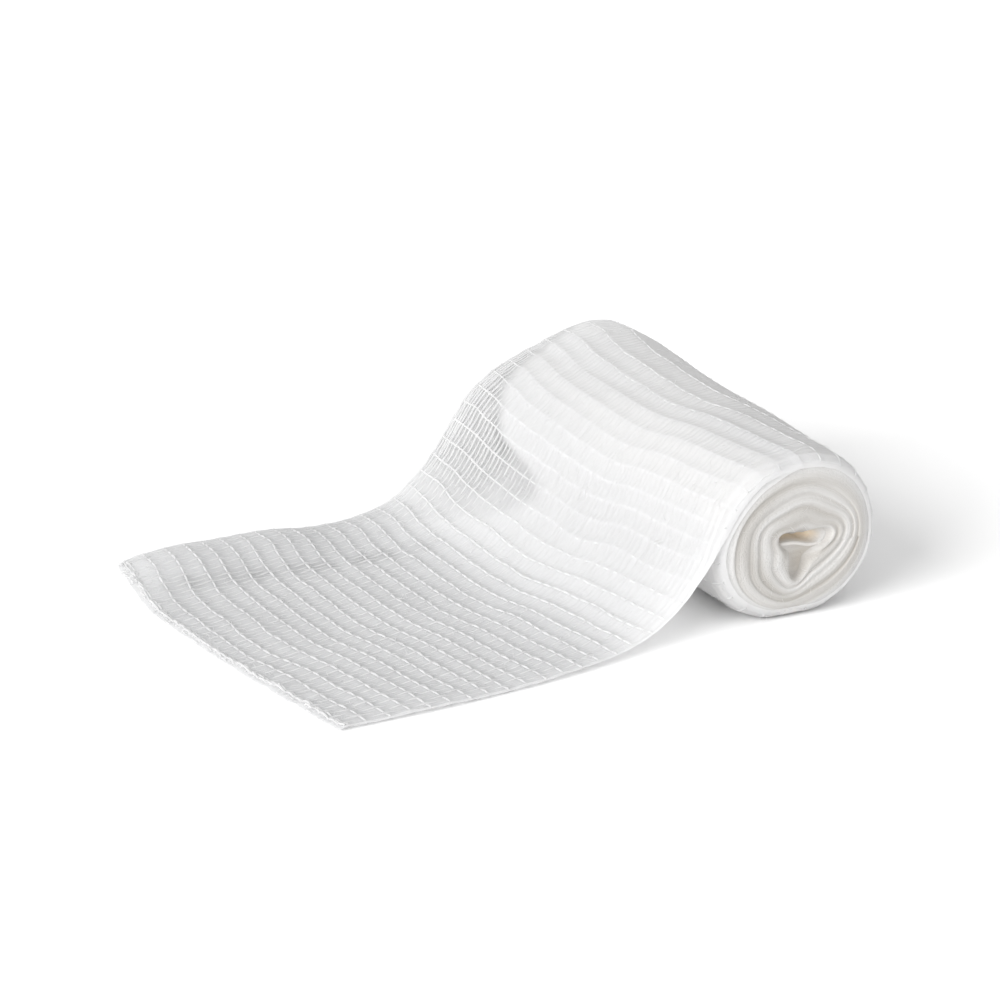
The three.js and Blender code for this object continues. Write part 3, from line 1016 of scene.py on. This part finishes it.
def makeSoftFace(name, side):
    # A ring from the hollow's rim to the outermost turn, which bends back over a shoulder outside and into
    # the hollow inside. Its waves follow the spiral of the turns.
    angle = np.linspace(0, 2 * np.pi, rims["anglesRound"] + 1)[:-1]
    share = np.linspace(0, 1, rims["steps"]) ** 0.9
    share, angle = np.meshgrid(share, angle, indexing="ij")
    uneven = wavesRound(angle, (*rims["uneven"], (0.08, 5, side)))
    turn = wound["turns"] * (1 - share) + angle / (2 * np.pi) + uneven * climb(1 - share, 0, 0.4)
    ring = (0.5 - 0.5 * np.cos(2 * np.pi * turn)) ** 1.3
    strong = 0.55 + 0.45 * np.sin(3.1 * turn + 1.3) * np.sin(angle + 0.6 * turn)
    body = window(share, *rims["waveWithin"])
    outside = (share - rims["shoulderStart"]) / (1 - rims["shoulderStart"])
    intoHollow = (rims["innerEnd"] - share) / rims["innerEnd"]
    inset = rims["dish"] * (1 - share) + rims["wave"] * ring * strong * body
    inset = inset + rims["shoulder"] * np.clip(outside, 0, 1) ** 2.2
    inset = inset + rims["innerRounding"] * np.clip(intoHollow, 0, 1) ** 2
    x = side * (rims["ends"][side] - inset)
    points = woundPoint(x, angle, share)
    uv = np.stack([wound["turnRun"] * turn, x], -1)
    # Painted shade: darker where the waves sink in between turns, with a share everywhere and two broad
    # darker rings, fading out at the outermost turn.
    everywhere, inWaves, inRings = rims["shades"]
    broad = 0.5 - 0.5 * np.cos(2 * np.pi * (1.7 * (1 - share) + 0.25 * np.sin(angle + 0.6)) + 0.4)
    depth = (everywhere + inWaves * ring * strong + inRings * broad) * climb(1 - share, 0.03, 0.16)
    here = np.arange(rims["anglesRound"])
    after = np.roll(here, -1)
    row = np.arange(rims["steps"] - 1)[:, None] * rims["anglesRound"]
    nextRow = row + rims["anglesRound"]
    corners = [row + here, nextRow + here, nextRow + after, row + after]
    faces = np.stack(corners[::side], -1).reshape(-1, 4)
    return woundPiece(name, points, [faces], uv, depth, 0 * depth)


# The cloth's inner end crosses the hollow as a thin lip: its middle line on the near end face.
lip = {
    "thickness": 0.55,
    "depth": 16,
    "nearX": 38.4,
    "line": columns(
        "share y z",
        (0, -2.6, 12.3), (0.25, 0.2, 12.15), (0.5, 2.7, 11.65), (0.75, 5, 11.35), (1, 7.6, 11.7),
    ),
    "steps": 40,
    "stations": 7,
    "rimSteps": 5,
    "swing": 0.25,
    "ripple": 0.12,
    "sinking": 0.04,
    "shade": 0.25,
    "paintedWarmth": 0.4,
}


def makeInnerEnd():
    # A strip along the lip's line with a rounded near rim, which waves a little and sinks away from the eye.
    share = np.linspace(0, 1, lip["steps"])[:, None]
    places, depths, bulges = roundedStrip(lip["stations"], lip["rimSteps"])
    rim = 0.25 * bulges * (places > 0)
    x = lip["nearX"] - lip["depth"] * (0.5 - 0.5 * places) + lip["swing"] * np.sin(7 * share) + rim
    y = curveOf(lip["line"], "y", share) + 0 * x
    z = curveOf(lip["line"], "z", share) + lip["ripple"] * np.sin(9 * share)
    z = z + depths * lip["thickness"] - lip["sinking"] * (lip["nearX"] - x)
    points = np.stack([x, y, z], -1)
    uv = np.stack([y, x], -1)
    # Painted shade and painted warm shade on the whole lip.
    depth = np.full(x.shape, lip["shade"])
    faces = tubeFaces(1, len(share), len(places))
    return woundPiece("innerEnd", points, faces, uv, depth, depth * lip["paintedWarmth"])


# Under the lip the last turn bulges forward as a shallow bowl and closes the lower part of the hollow.
bowl = {
    "columns": 34,
    "rows": 26,
    "height": 7,
    "bottomY": 1.2,
    "narrowing": 0.4,
    "rimX": 38.5,
    "depth": 0.9,
    "ripple": 0.12,
    # painted shade of the bowl, least and added in its dip
    "shades": (0.6, 0.4),
    "paintedWarmth": 0.12,
}


def makeInnerBowl():
    # A patch from the lip's line down to the bottom of the hollow, sunk in its middle like a half wave.
    share, down = np.linspace(0, 1, bowl["columns"]), np.linspace(0, 1, bowl["rows"])
    share, down = np.meshgrid(share, down, indexing="ij")
    y = mixed(curveOf(lip["line"], "y", share), bowl["bottomY"], bowl["narrowing"] * down)
    z = curveOf(lip["line"], "z", share) - bowl["height"] * down
    dip = np.sin(np.pi * share) * np.sin(np.pi * np.clip(down * 0.9 + 0.12, 0, 1))
    ripple = bowl["ripple"] * np.sin(9 * down + 4 * share) * np.sin(7 * share - 3 * down)
    x = bowl["rimX"] - bowl["depth"] * dip + ripple
    points = np.stack([x, y, z], -1)
    uv = np.stack([y, z], -1)
    # Painted shade, darker and warmer towards the bowl's sunk middle.
    least, more = bowl["shades"]
    faces = sheetFaces(*share.shape)
    return woundPiece("innerBowl", points, faces, uv, least + more * dip, dip * bowl["paintedWarmth"])


# Loose fibres

fluff = {
    "onCloth": 900,
    "atCutEnd": 90,
    "onFace": 70,
    "endWefts": 1.3,  # the ones at the cut end lie within so many wefts of it
    "rootLift": 0.2,
    "faceInset": 0.6,
    "stations": 5,
    "sides": 3,
    "flatness": 1,
    "radius": (0.025, 0.045),
    "length": (0.9, 2.6),
    "rise": (0.05, 0.45),
    "bend": 0.7,
    "tipSize": 0.25,
    "seed": 71,
}


def headingsOn(normals, made):
    # A random direction in the plane across each normal.
    return unit(np.cross(normals, made.normal(size=normals.shape)))


def makeFluff():
    # Short hairs scattered over the cloth, some more along the cut end, and some on the near face. Each one
    # leaves its root along its heading, bends sideways, and rises and falls like an arc.
    made = np.random.default_rng(fluff["seed"])
    count = fluff["onCloth"] + fluff["atCutEnd"]
    counts = made.uniform(fineCount[0] + 4, lastCount, count)
    across = made.uniform(0.005, 0.995, count)
    beforeEnd = fluff["endWefts"] * made.uniform(0, 1, fluff["atCutEnd"]) ** 1.6
    counts[fluff["onCloth"]:] = lastCount - beforeEnd
    roots, normals = clothAt(counts, across, fluff["rootLift"])
    headings = headingsOn(normals, made)
    faceAngle = made.uniform(0, 2 * np.pi, fluff["onFace"])
    faceShare = made.uniform(0.1, 1, fluff["onFace"]) ** 0.8
    faceX = np.full(fluff["onFace"], halfWidth - fluff["faceInset"])
    roots = np.concatenate([roots, woundPoint(faceX, faceAngle, faceShare)])
    forwards = np.tile([1.0, 0, 0], (fluff["onFace"], 1))
    headings = np.concatenate([headings, headingsOn(forwards, made)])
    normals = np.concatenate([normals, forwards])
    total = len(roots)
    length, rise = (made.uniform(*fluff[name], (total, 1, 1)) for name in ("length", "rise"))
    radii = made.uniform(*fluff["radius"], (total, 1))
    bend = made.uniform(-fluff["bend"], fluff["bend"], (total, 1, 1))
    step = np.linspace(0, 1, fluff["stations"])[None, :, None]
    beside = np.cross(normals, headings)[:, None]
    reach = length * (step * headings[:, None] + bend * step**2 * beside)
    centres = roots[:, None] + reach + rise * np.sin(np.pi * 0.8 * step) * normals[:, None]
    thin = radii * np.linspace(1, fluff["tipSize"], fluff["stations"])
    return yarnPiece("looseFluff", centres, normals[:, None], thin, fluff)


# The cut yarns' ends curl out of the cloth in small loops, most of all at the far corner.
fray = {
    "loops": 34,
    "atCorner": 26,
    "cornerReach": 0.13,
    "beforeEnd": (0.02, 0.5),
    "rootLift": 0.1,
    "outwards": (0.12, -0.99, 0),
    "spread": 0.35,
    # how far the loops reach out, run sideways and rise: first at the corner, then elsewhere
    "reach": ((0.1, 0.6), (0.03, 0.2)),
    "width": ((-1.4, 1.4), (-2.2, 2.2)),
    "rise": ((-0.2, 0.4), (0, 0.35)),
    "stations": 14,
    "sides": 5,
    "flatness": 1,
    "radius": 0.08,
    "seed": 72,
}


def makeFray():
    # Each loop leaves the cut edge, swings sideways and comes back, a half circle with a random lean.
    made = np.random.default_rng(fray["seed"])
    total = fray["loops"] + fray["atCorner"]
    across = made.uniform(0.01, 0.99, total)
    across[fray["loops"]:] = made.uniform(0.005, fray["cornerReach"], fray["atCorner"])
    atCorner = np.arange(total) >= fray["loops"]
    counts = lastCount - made.uniform(*fray["beforeEnd"], total)
    roots, normals = clothAt(counts, across, fray["rootLift"])
    outwards = np.tile(np.array(fray["outwards"], float), (total, 1))
    leans = made.normal(0, fray["spread"], (fray["atCorner"], 3)) * [1, 1, 0.3]
    outwards[atCorner] = unit(outwards[atCorner] + [0.15, 0, 0] + leans)
    sideways = unit(np.cross(normals, outwards))
    reach, width, rise = (
        np.where(atCorner, *(made.uniform(*limits, total) for limits in fray[name]))[:, None, None]
        for name in ("reach", "width", "rise")
    )
    step = np.linspace(0, 1, fray["stations"])[None, :, None]
    centres = roots[:, None] + reach * np.sin(np.pi * step) * outwards[:, None]
    centres = centres + width * (step - 0.25 * np.sin(2 * np.pi * step)) * sideways[:, None]
    centres = centres + rise * np.sin(np.pi * step) * np.array([0, 0, 1.0])
    radii = np.full(centres.shape[:2], fray["radius"])
    return yarnPiece("frayedEnd", centres, normals[:, None], radii, fray)


looseFluff = makeFluff()
frayedEnd = makeFray()
print("stage: loose fibres made")

woundTurns = makeWoundTurns()
innerEnd = makeInnerEnd()
innerBowl = makeInnerBowl()
nearFace = makeSoftFace("nearFace", 1)
farFace = makeSoftFace("farFace", -1)
print("stage: wound turns made")

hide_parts("wound_roll")
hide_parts("loose_end")


# Floor, light and camera

studio = {
    "floorSize": 8,
    "floorWhite": 0.98,
    "keyTowards": (0.25, -0.9, 0.36),
    "keyStrength": 2.8,
    "keySpread": 45,
    "ambient": 0.72,
}

camera = {
    "azimuth": 63.62,
    "elevation": 18.74,
    "distance": 434.2,
    "aimRight": -29.37,
    "aimUp": 7.32,
    "focalPixels": 2511,
    "imageWidth": 1000,
    "sensorWidth": 36,
}


def makeFloor():
    half = studio["floorSize"] / 2
    corners = [(-half, -half, 0), (half, -half, 0), (half, half, 0), (-half, half, 0)]
    mesh = bpy.data.meshes.new("floor")
    mesh.from_pydata(corners, [], [(0, 1, 2, 3)])
    material, start = newMaterial("paleFloor")
    white = studio["floorWhite"]
    shader = start.add("BsdfDiffuse", inputs={"Color": (white, white, white, 1), "Roughness": 0.5})
    start.add("OutputMaterial", inputs={"Surface": shader})
    mesh.materials.append(material)
    floor = placed("floor", mesh)


def makeLight():
    sun = bpy.data.lights.new("softKey", "SUN")
    sun.energy = studio["keyStrength"]
    sun.angle = math.radians(studio["keySpread"])
    lamp = placed("softKey", sun)
    lamp.rotation_mode = "QUATERNION"
    lamp.rotation_quaternion = Vector(studio["keyTowards"]).to_track_quat("Z", "Y")
    world = bpy.data.worlds.new("paleRoom")
    world.use_nodes = True
    background = world.node_tree.nodes["Background"]
    background.inputs["Color"].default_value = (1, 1, 1, 1)
    background.inputs["Strength"].default_value = studio["ambient"]
    bpy.context.scene.world = world
    bpy.context.scene.view_settings.view_transform = "Standard"


def makeCamera():
    azimuth, elevation = math.radians(camera["azimuth"]), math.radians(camera["elevation"])
    level = math.cos(elevation)
    back = Vector((math.sin(azimuth) * level, -math.cos(azimuth) * level, math.sin(elevation)))
    right = Vector((math.cos(azimuth), math.sin(azimuth), 0))
    up = back.cross(right)
    place = right * camera["aimRight"] + up * camera["aimUp"] + back * camera["distance"]
    lens = bpy.data.cameras.new("studioCamera")
    lens.sensor_width = camera["sensorWidth"]
    lens.lens = camera["focalPixels"] * camera["sensorWidth"] / camera["imageWidth"]
    lens.clip_start, lens.clip_end = 0.01, 50
    eye = placed("studioCamera", lens)
    eye.location = place * millimetre
    eye.rotation_mode = "QUATERNION"
    eye.rotation_quaternion = back.to_track_quat("Z", "Y")
    bpy.context.scene.camera = eye


makeFloor()
makeLight()
makeCamera()
print("stage: floor, light and camera made")
